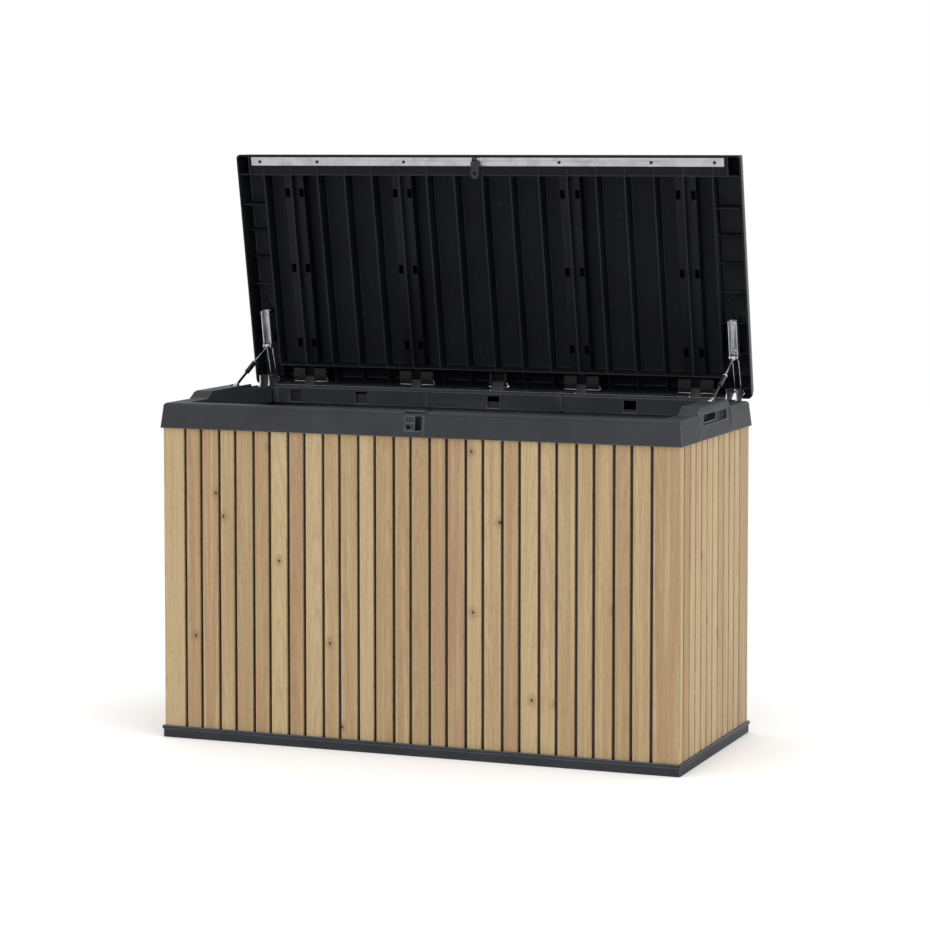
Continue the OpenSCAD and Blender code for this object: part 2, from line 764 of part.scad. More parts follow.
// A leaf: two lugs on the pin, joined by a bridge under the lid's skin
module hinge_leaf(x, w, ear) {
    top = lid_floor;
    y0 = axis_y - leaf_front;
    color(SOOT) lifted() difference() {
        union() {
            bar_x(x - w / 2, w, axis_y, axis_z, knuckle_r);
            block([x - w / 2, x + w / 2], [y0, axis_y], [axis_z - knuckle_r + 4, top]);
            block([x - w / 2, x + w / 2], [y0 + 12, axis_y], [axis_z - knuckle_r, top]);
        }
        block([x - ear / 2 - ear_gap, x + ear / 2 + ear_gap], [y0 - 1, axis_y + knuckle_r + 1],
            [axis_z - knuckle_r - 1, leaf_bridge]);
        bar_x(x - w, 2 * w, axis_y, axis_z, pin_r);
    }
}

module hinge_pin(x, l) {
    color(ZINC) lifted() bar_x(x - l / 2, l, axis_y, axis_z, pin_r);
}

module latch_bar() {
    color(SATIN) lifted() difference() {
        block([-bar_l / 2, bar_l / 2], [at_v(bar_v[1]), at_v(bar_v[0])], [lid_z, lid_z + bar_t]);
        for (x = bar_screw_x) screw_hole(x, bar_y, lid_z);
    }
}

module latch_bar_screws() {
    color(SOOT) lifted() for (x = bar_screw_x) screw_up(x, bar_y, lid_z);
}

module hasp_bracket() {
    ear = 2.5;
    in = hasp_knuckle_w / 2 + ear_gap;
    color(ZINC) lifted() difference() {
        union() {
            block([latch_x - 15, latch_x + 15], [hasp_y - 3.2, hasp_y + 6], [lid_z - bracket_t, lid_z]);
            for (x = [latch_x - in - ear, latch_x + in]) slab_yz(x, ear) union() {
                translate([hasp_y, hasp_z]) circle(r = hasp_knuckle_r);
                translate([hasp_y - hasp_knuckle_r + 0.8, hasp_z]) square([2 * hasp_knuckle_r - 0.8, lid_z - bracket_t / 2 - hasp_z]);
            }
        }
        bar_x(latch_x - 20, 40, hasp_y, hasp_z, hasp_pin_r);
    }
}

module hasp_pin() {
    l = hasp_knuckle_w + 7;
    color(BRIGHT) lifted() bar_x(latch_x - l / 2, l, hasp_y, hasp_z, hasp_pin_r);
}

// The hasp hangs straight down from its pin
module hasp() {
    color(SOOT) translate([latch_x, hasp_open[0], hasp_open[1]]) difference() {
        union() {
            bar_x(-hasp_knuckle_w / 2, hasp_knuckle_w, 0, 0, hasp_knuckle_r);
            block([-hasp_knuckle_w / 2, hasp_knuckle_w / 2], [-hasp_t / 2, hasp_t / 2], [-9, 0]);
            block([-hasp_w / 2, hasp_w / 2], [-hasp_t / 2, hasp_t / 2], [-hasp_l + hasp_w / 2, -6]);
            translate([0, hasp_t / 2, -hasp_l + hasp_w / 2]) rotate([90, 0, 0]) cylinder(h = hasp_t, r = hasp_w / 2);
        }
        bar_x(-20, 40, 0, 0, hasp_pin_r + pin_gap);
        translate([0, 20, -hasp_hole]) rotate([90, 0, 0]) cylinder(h = 40, r = shackle_r);
    }
}

// ------------------------------------------------------------------ stays

// Steel channel that carries the stay's upper pivot
module stay_plate(side) {
    y = [at_v(plate_v[1]), at_v(plate_v[0])];
    color(ZINC) lifted() both_sides(side) difference() {
        union() {
            block([stay_x - plate_half, stay_x + plate_half], y, [plate_web, plate_web + plate_t]);
            for (x = [stay_x - plate_half, stay_x + plate_half - plate_t]) {
                block([x, x + plate_t], [y[0], y[1]], [lid_z, plate_web + EPS]);
                slab_yz(x, plate_t) union() {
                    translate([eye_y, eye_z]) circle(r = 6);
                    translate([y[1] - 4, eye_z]) square([eye_y + 6 - y[1] + 4, 8]);
                }
            }
            // studs that the rod's eye hangs between
            bar_x(stay_x - plate_half, plate_half - eye_half - stud_gap, eye_y, eye_z, stay_pin_r);
            bar_x(stay_x + eye_half + stud_gap, plate_half - eye_half - stud_gap, eye_y, eye_z, stay_pin_r);
        }
        for (v = plate_hole_v) screw_hole(stay_x, at_v(v), plate_web);
    }
}

module stay_plate_screws() {
    color(SATIN) lifted() for (s = [-1, 1], v = plate_hole_v) screw_up(s * stay_x, at_v(v), plate_web);
}

// A pair of steel wires from the plate to the tower's pin
module hinge_arm(side) {
    a = [axis_y, axis_z];
    b = [at_v(wire_v[0]), wire_z];
    c = [at_v(wire_v[1]), wire_z];
    eye = 5.5;
    eye_t = 2 * wire_r + 0.6;
    color(BRIGHT) lifted() both_sides(side) for (s = [-1, 1]) {
        x = stay_x + s * wire_x;
        difference() {
            union() {
                bar_yz(x, a, b, wire_r);
                bar_x(x - eye_t / 2, eye_t, a[0], a[1], eye);
            }
            bar_x(x - 5, 10, a[0], a[1], stay_pin_r + pin_gap);
        }
        translate([x, b[0], b[1]]) sphere(r = wire_r + 0.2);
        bar_yz(x, b, c, wire_r);
    }
}

// Draws along the stay: +Y of the children runs from the lower to the upper pivot
module along_strut(side) {
    both_sides(side) translate([stay_x, foot_y, foot_z]) rotate([strut_a, 0, 0]) children();
}

module strut_turned(from, to, r) {
    translate([0, from, 0]) rotate([-90, 0, 0]) cylinder(h = to - from, r = r);
}

module strut_tube(side) {
    fork = post_cheek_in - ear_gap;
    color(SOOT) along_strut(side) difference() {
        union() {
            bar_x(-fork, 2 * fork, 0, 0, 6);
            strut_turned(0, tube_fit, 4.5);
            strut_turned(tube_fit - EPS, damper_from + 1, tube_r);
            strut_turned(damper_from, cap_from, damper_r);
        }
        bar_x(-20, 40, 0, 0, stay_pin_r + pin_gap);
        strut_turned(tube_fit + 3, cap_from + 1, rod_r + pin_gap);
    }
}

module strut_cap(side) {
    color(BRIGHT) along_strut(side) difference() {
        union() {
            strut_turned(cap_from, cap_to - 3, damper_r + 0.4);
            strut_turned(cap_to - 3, cap_to, damper_r - 1.2);
        }
        strut_turned(cap_from - 1, cap_to + 1, rod_r + pin_gap);
    }
}

module strut_rod(side) {
    color(ZINC) along_strut(side) difference() {
        union() {
            strut_turned(strut_l - rod_l, strut_l, rod_r);
            bar_x(-eye_half, 2 * eye_half, strut_l, 0, eye_r);
        }
        bar_x(-20, 40, strut_l, 0, stay_pin_r + pin_gap);
    }
}

// ------------------------------------------------------------------ nodes

base_frame();
floor_panel();
front_panel();
rear_panel();
end_panel(-1);  // left_panel
end_panel(1);  // right_panel
front_slats();
rear_slats();
end_slats(-1);  // left_slats
end_slats(1);  // right_slats
rim_front_left();
rim_front_right();
rim_rear();
rim_end(-1);  // rim_left
rim_end(1);  // rim_right
strut_post(-1);  // strut_post_left
strut_post(1);  // strut_post_right
strut_post_pins();
hinge_tower(-1);  // hinge_tower_left
hinge_tower(1);  // hinge_tower_right
tower_strap(-1);  // tower_strap_left
tower_strap(1);  // tower_strap_right
tower_pins();
hinge_post(hinge_x[0], ear_w, foot_w);  // hinge_post_1
hinge_post(hinge_x[1], ear_w, foot_w);  // hinge_post_2
hinge_post(hinge_x[2], ear_w, foot_w);  // hinge_post_3
hinge_post(hinge_x[3], ear_w, foot_w);  // hinge_post_4
hinge_post(0, center_ear_w, center_ear_w + 14);  // center_hinge_post
rim_screws();
lid_shell();
lid_brace(hinge_x[0]);  // lid_brace_1
lid_brace(hinge_x[1]);  // lid_brace_2
lid_brace(hinge_x[2]);  // lid_brace_3
lid_brace(hinge_x[3]);  // lid_brace_4
hinge_leaf(hinge_x[0], leaf_w, ear_w);  // hinge_leaf_1
hinge_leaf(hinge_x[1], leaf_w, ear_w);  // hinge_leaf_2
hinge_leaf(hinge_x[2], leaf_w, ear_w);  // hinge_leaf_3
hinge_leaf(hinge_x[3], leaf_w, ear_w);  // hinge_leaf_4
hinge_leaf(0, center_ear_w + 2 * center_lug_w, center_ear_w);  // center_hinge_leaf
hinge_pin(hinge_x[0], leaf_w + 2);  // hinge_pin_1
hinge_pin(hinge_x[1], leaf_w + 2);  // hinge_pin_2
hinge_pin(hinge_x[2], leaf_w + 2);  // hinge_pin_3
hinge_pin(hinge_x[3], leaf_w + 2);  // hinge_pin_4
hinge_pin(0, center_pin_l);  // center_hinge_pin
latch_bar();
latch_bar_screws();
hasp_bracket();
hasp_pin();
hasp();
stay_plate(-1);  // stay_plate_left
stay_plate(1);  // stay_plate_right
stay_plate_screws();
hinge_arm(-1);  // hinge_arm_left
hinge_arm(1);  // hinge_arm_right
strut_tube(-1);  // strut_tube_left
strut_tube(1);  // strut_tube_right
strut_cap(-1);  // strut_cap_left
strut_cap(1);  // strut_cap_right
strut_rod(-1);  // strut_rod_left
strut_rod(1);  // strut_rod_right
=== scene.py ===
"""A deck storage box: wood-look slats on dark resin walls, a slate resin base and rim, and a deep
ribbed lid that stands open on rear hinges and two telescopic stays."""
import json
import math

import bmesh
import bpy
import numpy as np
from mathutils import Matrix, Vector


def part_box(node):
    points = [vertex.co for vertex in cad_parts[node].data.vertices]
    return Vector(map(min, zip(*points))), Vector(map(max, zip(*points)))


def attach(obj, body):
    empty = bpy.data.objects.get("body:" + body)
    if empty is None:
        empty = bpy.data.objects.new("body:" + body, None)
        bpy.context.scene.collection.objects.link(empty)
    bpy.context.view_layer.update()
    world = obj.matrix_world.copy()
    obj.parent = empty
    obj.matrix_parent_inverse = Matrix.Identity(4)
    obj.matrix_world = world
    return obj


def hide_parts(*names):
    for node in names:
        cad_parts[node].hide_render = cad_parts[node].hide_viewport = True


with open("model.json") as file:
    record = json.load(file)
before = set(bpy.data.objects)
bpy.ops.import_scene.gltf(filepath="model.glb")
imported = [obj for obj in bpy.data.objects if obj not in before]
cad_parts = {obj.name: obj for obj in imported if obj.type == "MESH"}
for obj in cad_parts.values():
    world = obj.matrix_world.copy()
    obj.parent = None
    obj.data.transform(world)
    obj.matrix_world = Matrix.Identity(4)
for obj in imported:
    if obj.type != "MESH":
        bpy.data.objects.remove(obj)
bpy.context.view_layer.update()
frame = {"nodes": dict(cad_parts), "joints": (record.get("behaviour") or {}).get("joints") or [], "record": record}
scene = bpy.context.scene

# ---------------------------------------------------------------- camera
# A long lens a little above the rim's height, turned to show the front
# and the right end.
camera = bpy.data.objects.new("camera", bpy.data.cameras.new("camera"))
camera.data.lens = 116.23
camera.data.sensor_width = 36
camera.data.shift_y = -0.1282
camera.data.clip_end = 100
camera.location = (2.6262, -6.6974, 1.4259)
camera.rotation_euler = (math.radians(86.161), 0, math.radians(21.263))
scene.collection.objects.link(camera)
scene.camera = camera

# --------------------------------------------------------- studio and floor
# A white room: an even white surround, a small soft light low on the right
# and a large one overhead, over a floor that takes only a faint shadow.
scene.view_settings.view_transform = "Standard"
scene.world = bpy.data.worlds.new("white_room")
scene.world.use_nodes = True
surround = scene.world.node_tree.nodes["Background"]
surround.inputs["Color"].default_value = (1, 1, 1, 1)
surround.inputs["Strength"].default_value = 1.0


def soft_light(name, place, aim, size, watts):
    """A square area light at `place` that faces the point `aim`."""
    light = bpy.data.objects.new(name, bpy.data.lights.new(name, "AREA"))
    light.data.size = size
    light.data.energy = watts
    light.location = place
    light.rotation_euler = (Vector(aim) - Vector(place)).to_track_quat("-Z", "Y").to_euler()
    scene.collection.objects.link(light)


soft_light("right_softbox", (4.3, -1.15, 1.5), (0.5, 0, 0.6), 0.9, 20)
soft_light("top_softbox", (0.4, -1.2, 4.2), (0, 0, 0.6), 2.6, 42)


class Channel:
    """A number's socket in a finish. Arithmetic on it adds Math nodes."""

    def __init__(self, finish, socket):
        self.finish = finish
        self.socket = socket

    def math(self, operation, *terms):
        return self.finish.node("ShaderNodeMath", {"operation": operation}, dict(enumerate(terms)))

    def __add__(self, other):
        return self.math("ADD", self, other)

    def __mul__(self, other):
        return self.math("MULTIPLY", self, other)

    def __sub__(self, other):
        return self.math("SUBTRACT", self, other)

    def __rsub__(self, other):
        return self.math("SUBTRACT", other, self)

    __radd__ = __add__
    __rmul__ = __mul__


class Finish:
    """One procedural material, made with node() and ended with surface()."""

    def __init__(self, name):
        self.material = bpy.data.materials.new(name)
        self.material.use_nodes = True
        self.tree = self.material.node_tree

    def feed(self, socket, value):
        if isinstance(value, Channel):
            self.tree.links.new(value.socket, socket)
        else:
            socket.default_value = value

    def node(self, kind, settings, sockets, out=0):
        """Adds a node, with its settings first and then its sockets' values or links."""
        node = self.tree.nodes.new(kind)
        for key, value in settings.items():
            setattr(node, key, value)
        for key, value in sockets.items():
            self.feed(node.inputs[key], value)
        return Channel(self, node.outputs[out])

    def place(self):
        """Where a point is on the object, in metres."""
        return self.node("ShaderNodeTexCoord", {}, {}, "Object")

    def stretched(self, vector, scale):
        return self.node("ShaderNodeMapping", {}, {"Vector": vector, "Scale": scale})

    def noise(self, vector, scale=1.0, detail=3.0):
        return self.node("ShaderNodeTexNoise", {}, {"Vector": vector, "Scale": scale, "Detail": detail})

    def step(self, value, low, high):
        """0 below `low`, 1 above `high`, smooth between."""
        return self.node("ShaderNodeMapRange", {"interpolation_type": "SMOOTHSTEP"},
                         {"Value": value, "From Min": low, "From Max": high})

    def mix(self, factor, a, b, way="MIX"):
        return self.node("ShaderNodeMix", {"data_type": "RGBA", "blend_type": way}, {0: factor, 6: a, 7: b}, 2)

    def bump(self, height, distance, strength=1.0):
        return self.node("ShaderNodeBump", {}, {"Height": height, "Distance": distance, "Strength": strength})

    def surface(self, sockets):
        shader = self.tree.nodes["Principled BSDF"]
        for key, value in sockets.items():
            self.feed(shader.inputs[key], value)
        return self.material


def paint(red, green, blue):
    """A colour given as it looks on a screen, from 0 to 255, as the shader wants it."""
    linear = [(c / 255 / 12.92 if c <= 10 else ((c / 255 + 0.055) / 1.055) ** 2.4) for c in (red, green, blue)]
    return (*linear, 1.0)


floor_mesh = bpy.data.meshes.new("studio_floor")
floor_mesh.from_pydata([(-30, -30, 0), (30, -30, 0), (30, 30, 0), (-30, 30, 0)], [], [(0, 1, 2, 3)])
floor = bpy.data.objects.new("studio_floor", floor_mesh)
scene.collection.objects.link(floor)
pale = Finish("pale_floor")
floor_mesh.materials.append(pale.surface({"Base Color": (1, 1, 1, 1), "Roughness": 1.0, "Specular IOR Level": 0.0}))

# ------------------------------------------------------------- resin pieces
# Injection-moulded resin with a fine spark-eroded texture: slate grey for
# the base and the rim, near-black and a little glossier for walls and lid.
TEXTURE = 0.0011      # size of the moulded texture's grains


def resin(name, dark, light, roughness, gloss, texture_depth):
    """Moulded resin: cloudy between two shades, with a fine bumpy texture and a few faint scuffs."""
    f = Finish(name)
    place = f.place()
    cloud = f.noise(place, 7.0, 4.0)
    texture = f.noise(place, 1 / TEXTURE, 2.0)
    scuff = f.step(f.noise(f.stretched(place, (90, 60, 30)), 1.0, 6.0), 0.64, 0.74)
    colour = f.mix(f.step(cloud + texture * 0.35, 0.45, 0.95), paint(*dark), paint(*light))
    colour = f.mix(scuff * 0.03, colour, paint(150, 150, 152))
    return f.surface({
        "Base Color": colour,
        "Roughness": texture * 0.12 + cloud * 0.1 + (roughness - 0.11),
        "Specular IOR Level": gloss,
        "Normal": f.bump(texture, texture_depth),
    })


SLATE = resin("slate_resin", (49, 51, 55), (58, 60, 64), 0.50, 0.10, 0.00012)
# A lighter, glossier copy of the slate resin for rounded edges: the lower roughness is their polish, and the lighter
# colour is a painted highlight along each edge.
SLATE_EDGE_HIGHLIGHT = resin("slate_resin_painted_highlight", (70, 72, 77), (82, 84, 89), 0.28, 0.5, 0.00003)
BLACK = resin("black_resin", (22, 22, 24), (32, 32, 35), 0.45, 0.35, 0.00008)
SOOT = resin("lid_resin", (14, 15, 19), (21, 23, 28), 0.45, 0.15, 0.00008)
# A much lighter copy of the lid resin for the rounded rib crests and edges: the lower roughness is their polish, and
# the lighter colour is a painted highlight on the crests.
SOOT_EDGE_HIGHLIGHT = resin("lid_resin_painted_highlight", (44, 45, 49), (56, 57, 61), 0.32, 0.3, 0.00003)


def place_piece(mesh, name, body, slot, material, *nodes):
    """Adds a finished piece that rides on a body and stands for the CAD nodes it replaces."""
    piece = bpy.data.objects.new(name, mesh)
    scene.collection.objects.link(piece)
    mesh.materials.append(material)
    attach(piece, body)
    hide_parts(*nodes)
    return piece


def softened(node, radius, material, slot, body="box", segments=2, edge=None, shortest=0.0):
    """A moulded or pressed piece: the CAD node's mesh with its sharp edges rounded to `radius`. The
    rounded strips may have a finish of their own: a glossier copy, since the mould and handling polish
    an edge, whose lighter colour is a painted highlight along the edge. With `shortest`, only edges
    longer than that are rounded, and short ones no longer limit the radius."""
    shape = bmesh.new()
    shape.from_mesh(frame["nodes"][node].data)
    bmesh.ops.remove_doubles(shape, verts=shape.verts, dist=1e-5)
    bmesh.ops.dissolve_limit(shape, angle_limit=math.radians(0.5), verts=shape.verts, edges=shape.edges)
    sharp = [e for e in shape.edges if len(e.link_faces) == 2 and e.calc_face_angle() > math.radians(28)
             and e.calc_length() > shortest]
    # When `edge` is given, the bevel's strips take material index 1, the lighter copy that paints a highlight along
    # every rounded edge.
    bmesh.ops.bevel(shape, geom=sharp, offset=radius, offset_type="OFFSET", segments=segments, profile=0.5,
                    affect="EDGES", clamp_overlap=shortest == 0, material=1 if edge else 0)
    mesh = bpy.data.meshes.new(node)
    shape.to_mesh(mesh)
    shape.free()
    mesh.shade_smooth()
    mesh.set_sharp_from_angle(angle=math.radians(30))
    piece = place_piece(mesh, node + "_moulded", body, slot, material, node)
    if edge:
        mesh.materials.append(edge)
    return piece


# The base's and the rim's rounded edges carry the painted highlight.
softened("base_frame", 0.0012, SLATE, "slate_resin", edge=SLATE_EDGE_HIGHLIGHT)
softened("floor_panel", 0.0012, SLATE, "slate_resin")
for node in ("rim_front_left", "rim_front_right", "rim_rear", "rim_left", "rim_right"):
    softened(node, 0.0013, SLATE, "slate_resin", segments=3, edge=SLATE_EDGE_HIGHLIGHT, shortest=0.012)
for node in ("front_panel", "rear_panel", "left_panel", "right_panel"):
    softened(node, 0.001, BLACK, "black_resin")


def grid_mesh(name, rings, smooth=30):
    """Closed bodies from an array of rings, shape (bodies, rings, points, 3): quads join each ring
    to the next, and a flat face closes each end."""
    bodies, n, m, _ = rings.shape
    start = (np.arange(bodies) * n * m)[:, None, None]
    i = np.arange(n - 1)[None, :, None] * m
    j = np.arange(m)[None, None, :]
    k = (j + 1) % m
    quads = np.stack([start + i + j, start + i + k, start + i + m + k, start + i + m + j], -1).reshape(-1, 4)
    ends = (start[:, 0] + np.arange(m)[None, ::-1]).tolist() + (start[:, 0] + (n - 1) * m + np.arange(m)).tolist()
    mesh = bpy.data.meshes.new(name)
    mesh.from_pydata(rings.reshape(-1, 3).tolist(), [], quads.tolist() + ends)
    mesh.validate()
    shape = bmesh.new()
    shape.from_mesh(mesh)
    bmesh.ops.recalc_face_normals(shape, faces=shape.faces)
    shape.to_mesh(mesh)
    shape.free()
    mesh.shade_smooth()
    mesh.set_sharp_from_angle(angle=math.radians(smooth))
    return mesh


# ------------------------------------------------------- fluted inner faces
# The walls' inner faces and the floor are moulded with shallow raised pads
# between grooves, which stiffen the double-skin panels.
PAD_PITCH = 0.0735
PAD_HEIGHT = 0.0025
PAD_EDGE = 0.007      # width of the slope at a pad's side
STEP = 0.0025         # spacing of the mesh's rows along a face


def fluted(name, u, across, out, start, material=BLACK, slot="black_resin"):
    """A slab along `u` (lowest, highest, axis vector): its height is PAD_HEIGHT times a smooth
    0-to-1 step that falls back to 0 at every PAD_PITCH, and its ends slope down over PAD_EDGE."""
    low, high, along = u
    count = int((high - low) / STEP)
    s = np.linspace(low, high, count)
    from_groove = np.abs((s - low) % PAD_PITCH - PAD_PITCH / 2)
    step = np.clip((PAD_PITCH / 2 - from_groove) / PAD_EDGE, 0, 1)
    height = PAD_HEIGHT * (0.15 + 0.85 * step * step * (3 - 2 * step))
    v0, v1, v_axis = across
    v = np.array([v0, v0, v0 + PAD_EDGE, v1 - PAD_EDGE, v1, v1])
    lift = np.array([0, 0.1, 1, 1, 0.1, 0])
    points = (np.array(start)[None, None] + s[:, None, None] * np.array(along)
              + v[None, :, None] * np.array(v_axis)
              + (height[:, None] * lift[None])[..., None] * np.array(out))
    return place_piece(grid_mesh(name, points[None]), name, "box", slot, material)


floor_low, floor_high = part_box("floor_panel")
inner_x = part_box("right_panel")[0].x
inner_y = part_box("rear_panel")[0].y
flute_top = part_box("right_panel")[1].z - 0.004
wall_z = (floor_high.z + 0.001, flute_top, (0, 0, 1))
for name, side in (("front_inner_face", -1), ("rear_inner_face", 1)):
    fluted(name, (-inner_x + 0.004, inner_x - 0.004, (1, 0, 0)), wall_z, (0, -side, 0), (0, side * inner_y, 0))
for name, side in (("left_inner_face", -1), ("right_inner_face", 1)):
    fluted(name, (-inner_y + 0.004, inner_y - 0.004, (0, 1, 0)), wall_z, (-side, 0, 0), (side * inner_x, 0, 0))
fluted("floor_tread", (-inner_x + 0.012, inner_x - 0.012, (1, 0, 0)), (-inner_y + 0.012, inner_y - 0.012, (0, 1, 0)),
       (0, 0, 1), (0, 0, floor_high.z), SLATE, "slate_resin")

# ------------------------------------------------------------------- slats
# Vertical boards with an embossed and printed oak grain, each a little
# different in tone, clipped to the dark cores with a gap between them.
BOARD_EDGE = 0.0016   # radius of a board's two front edges
BOARD_CROWN = 0.0003  # how far the middle of its face stands proud
draw = np.random.default_rng(41)


def oak():
    """Oak from the board's own coordinates: across and along in metres, and a seed per board.
    Growth rings are the level lines of a parabola along the board, so they show as long arches
    near its axis and as straight lines away from it."""
    f = Finish("oak_grain")
    split = f.tree.nodes.new("ShaderNodeSeparateXYZ")
    f.feed(split.inputs[0], f.node("ShaderNodeAttribute", {"attribute_name": "grain"}, {}, "Vector"))
    across, along, seed = (Channel(f, s) for s in split.outputs)
    tone = f.node("ShaderNodeAttribute", {"attribute_name": "tone"}, {}, "Fac")
    warmth = f.node("ShaderNodeAttribute", {"attribute_name": "warmth"}, {}, "Fac")

    def spot(u, v):
        """A point for a texture, with features `u` metres across and `v` metres along."""
        return f.node("ShaderNodeCombineXYZ", {}, {0: across * (1 / u), 1: along * (1 / v), 2: seed * 40})

    scatter = f.node("ShaderNodeCombineXYZ", {}, {0: across * 4.0 + seed * 61.0, 1: along * 3.3 + seed * 173.0})
    knot_spot = f.node("ShaderNodeTexVoronoi", {"feature": "F1", "voronoi_dimensions": "2D"},
                       {"Vector": scatter, "Scale": 1.0, "Randomness": 1.0})
    knot = 1 - f.step(knot_spot, 0.006, 0.018)
    halo = 1 - f.step(knot_spot, 0.010, 0.075)
    drift = f.noise(spot(0.03, 0.30), 1.0, 2.0)
    axis = across + (seed - 0.5) * 0.07 + (drift - 0.5) * 0.012
    rings = (along + axis * axis * 420.0) * 8.0 + drift * 2.6 + halo * 1.4
    ring = f.node("ShaderNodeMath", {"operation": "SINE"}, {0: rings * (2 * math.pi)})
    ring = f.step(ring, -0.2, 1.0)
    streak = f.noise(spot(0.0035, 0.35), 1.0, 4.0)
    band = f.noise(spot(0.011, 0.50), 1.0, 3.0)
    pore = f.step(f.noise(spot(0.0011, 0.022), 1.0, 2.0), 0.58, 0.70)
    fleck = f.step(f.noise(spot(0.006, 0.03), 1.0, 3.0), 0.66, 0.74)

    pale, tan, red = paint(186, 165, 126), paint(168, 142, 107), paint(160, 126, 98)
    colour = f.mix(f.step(band + (tone - 0.5) * 0.45, 0.25, 0.75), pale, tan)
    colour = f.mix(warmth * f.step(band, 0.25, 0.6), colour, red)
    colour = f.mix(ring * 0.17, colour, paint(134, 104, 72))
    colour = f.mix(f.step(streak, 0.5, 0.74) * 0.22, colour, paint(132, 103, 72))
    colour = f.mix(fleck * 0.28, colour, paint(206, 184, 146))
    colour = f.mix(pore * 0.25, colour, paint(96, 72, 48))
    colour = f.mix(halo * 0.45, colour, paint(126, 92, 60))
    colour = f.mix(knot * 0.9, colour, paint(60, 40, 26))
    relief = ring * 0.35 + streak * 0.4 - pore * 0.9 - knot * 0.6
    return f.surface({
        "Base Color": colour,
        "Roughness": streak * 0.16 + pore * 0.12 + 0.46,
        "Specular IOR Level": 0.2,
        "Normal": f.bump(relief, 0.00022),
    })


OAK = oak()


def board_edges(node, axis):
    """Lowest and highest place of each board along an axis, from the CAD node's own vertices."""
    co = np.array([v.co for v in frame["nodes"][node].data.vertices])[:, axis]
    return np.unique(np.round(co, 5)).reshape(-1, 2)


def boards(node, axis, face, back):
    """Boards along Z: the section is flat at the back, has a quarter circle of BOARD_EDGE at each
    front corner, and a face that bulges by BOARD_CROWN as a parabola across the board."""
    low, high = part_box(node)
    edges = board_edges(node, axis)
    turn = np.radians(np.linspace(0, 90, 5))
    depth = abs(face - back)
    outline = []
    for a, b in edges:
        half = (b - a) / 2
        corner_u = half - BOARD_EDGE + BOARD_EDGE * np.cos(turn)
        corner_w = depth - BOARD_CROWN - BOARD_EDGE + BOARD_EDGE * np.sin(turn)
        face_u = np.linspace(half - BOARD_EDGE, -half + BOARD_EDGE, 7)[1:-1]
        face_w = depth - BOARD_CROWN * (face_u / half) ** 2
        u = np.concatenate([[half], corner_u, face_u, -corner_u[::-1], [-half]])
        w = np.concatenate([[0], corner_w, face_w, corner_w[::-1], [0]])
        outline.append(np.stack([u, w], -1))
    outline = np.array(outline)
    levels = np.linspace(low.z, high.z, 12)
    count, points = outline.shape[:2]
    rings = np.zeros((count, len(levels), points, 3))
    rings[..., axis] = (edges.mean(1)[:, None] + outline[..., 0])[:, None]
    rings[..., 1 - axis] = (back + math.copysign(1, face - back) * outline[..., 1])[:, None]
    rings[..., 2] = levels[None, :, None]
    mesh = grid_mesh(node, rings)
    seeds = draw.uniform(0, 1, count)
    grain = np.zeros(rings.shape)
    grain[..., 0] = outline[:, None, :, 0]
    grain[..., 1] = rings[..., 2] + draw.uniform(0, 9, count)[:, None, None]
    grain[..., 2] = seeds[:, None, None]
    mesh.attributes.new("grain", "FLOAT_VECTOR", "POINT").data.foreach_set("vector", grain.ravel())
    for name, values in (("tone", draw.uniform(0, 1, count)), ("warmth", draw.uniform(0, 1, count) ** 3 * 0.75)):
        spread = np.broadcast_to(values[:, None, None], rings.shape[:3])
        mesh.attributes.new(name, "FLOAT", "POINT").data.foreach_set("value", spread.ravel())
    return place_piece(mesh, node + "_boards", "box", "oak_slats", OAK, node)


front_low, front_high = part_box("front_slats")
boards("front_slats", 0, front_low.y, front_high.y)
boards("rear_slats", 0, -front_low.y, -front_high.y)
right_low, right_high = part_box("right_slats")
boards("right_slats", 1, right_high.x, right_low.x)
boards("left_slats", 1, -right_high.x, -right_low.x)

# --------------------------------------------------------------------- lid
# The lid is one deep moulding with planks on top and crossing ribs below;
# its four braces, shown as the CAD nodes are, and the hinge leaves are
# separate mouldings let into it.
# The lid's rounded rib crests and edges carry its painted highlight.
softened("lid_shell", 0.0006, SOOT, "black_resin", "lid", edge=SOOT_EDGE_HIGHLIGHT, shortest=0.02)
for k in range(1, 5):
    softened(f"hinge_leaf_{k}", 0.0015, BLACK, "black_resin", "lid")
    softened(f"hinge_post_{k}", 0.001, BLACK, "slate_resin")
softened("center_hinge_leaf", 0.001, BLACK, "black_resin", "lid")
softened("center_hinge_post", 0.001, SLATE, "slate_resin")
for side in ("left", "right"):
    softened(f"hinge_tower_{side}", 0.0008, SLATE, "slate_resin")
    softened(f"strut_post_{side}", 0.0008, BLACK, "black_paint")

# ------------------------------------------------------------ metal finishes
# Satin anodised aluminium with lengthwise grain, zinc-plated pressed steel,
# bright nickel plate on pins and wires, and black enamel.


def metal(name, colour, roughness, grain, depth=0.00003, metallic=1.0):
    """Metal with a drawn or brushed grain: noise stretched along the directions with a low scale."""
    f = Finish(name)
    place = f.place()
    brushed = f.noise(f.stretched(place, grain), 1.0, 4.0)
    stain = f.noise(place, 35.0, 3.0)
    dark = tuple(c * 0.78 for c in paint(*colour)[:3]) + (1.0,)
    return f.surface({
        "Base Color": f.mix(f.step(stain, 0.35, 0.75), paint(*colour), dark),
        "Metallic": metallic,
        "Roughness": brushed * 0.2 + stain * 0.1 + (roughness - 0.15),
        "Normal": f.bump(brushed, depth),
    })


ALUMINIUM = metal("satin_aluminium", (190, 190, 193), 0.45, (3, 900, 900))
ZINC = metal("zinc_steel", (196, 198, 200), 0.38, (300, 300, 40))
NICKEL = metal("bright_nickel", (228, 228, 230), 0.22, (400, 400, 400), 0.00001)
ENAMEL = metal("black_enamel", (15, 15, 17), 0.34, (500, 500, 500), 0.00002, 0.0)

